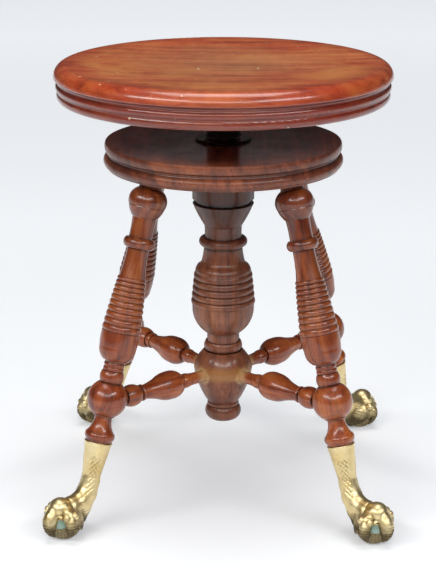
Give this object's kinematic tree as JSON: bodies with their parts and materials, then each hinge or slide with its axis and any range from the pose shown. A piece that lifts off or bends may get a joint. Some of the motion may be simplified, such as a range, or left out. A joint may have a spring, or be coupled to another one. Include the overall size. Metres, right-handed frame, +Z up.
{
  "type": "revolving piano stool",
  "caption": "Revolving piano stool: round wooden seat on a lifting screw, apron disc, turned column, splayed turned legs, stretchers and brass claw feet on glass balls.",
  "frame": {"origin": "on the floor, under the column's axis", "axes": "+Z up along the column and its screw; the legs stand on the diagonals of X and Y; the front faces -Y"},
  "size_m": [0.3652, 0.3652, 0.47],
  "materials": {
    "seat_wood": "gloss varnish",
    "frame_wood": "gloss varnish, darker stain",
    "leg_wood": "gloss varnish",
    "brass": "cast, polished",
    "glass": "clear, pale green",
    "iron": "black japanned",
    "steel": "oiled, dull"
  },
  "bodies": {
    "base": {"spindle_nut": "iron", "nut_screws": "steel", "apron_disc": "frame_wood", "centre_column": "frame_wood", "foot_pins": "brass", "leg_rear_right": "leg_wood", "stretcher_rear_right": "leg_wood", "claw_foot_rear_right": "brass", "glass_ball_rear_right": "glass", "leg_rear_left": "leg_wood", "stretcher_rear_left": "leg_wood", "claw_foot_rear_left": "brass", "glass_ball_rear_left": "glass", "leg_front_left": "leg_wood", "stretcher_front_left": "leg_wood", "claw_foot_front_left": "brass", "glass_ball_front_left": "glass", "leg_front_right": "leg_wood", "stretcher_front_right": "leg_wood", "claw_foot_front_right": "brass", "glass_ball_front_right": "glass"},
    "lift": {"stop_washer": "steel"},
    "seat": {"seat_board": "seat_wood", "seat_plate": "iron", "seat_plate_screws": "steel", "seat_spindle": "steel", "spindle_cross_pin": "steel", "stop_pin": "steel"}
  },
  "joints": [
    {"name": "seat_lift", "type": "slide", "parent": "base", "child": "lift", "axis": [0, 0, 1], "range_m": [0, 0.0961]},
    {"name": "seat_turn", "type": "hinge", "parent": "lift", "child": "seat", "pos_m": [0, 0, 0.42], "axis": [0, 0, 1], "range_deg": [0, 5760]}
  ],
  "couplings": [
    {"joint": "seat_lift", "follows": "seat_turn", "m_per_rad": 0.00095493}
  ]
}
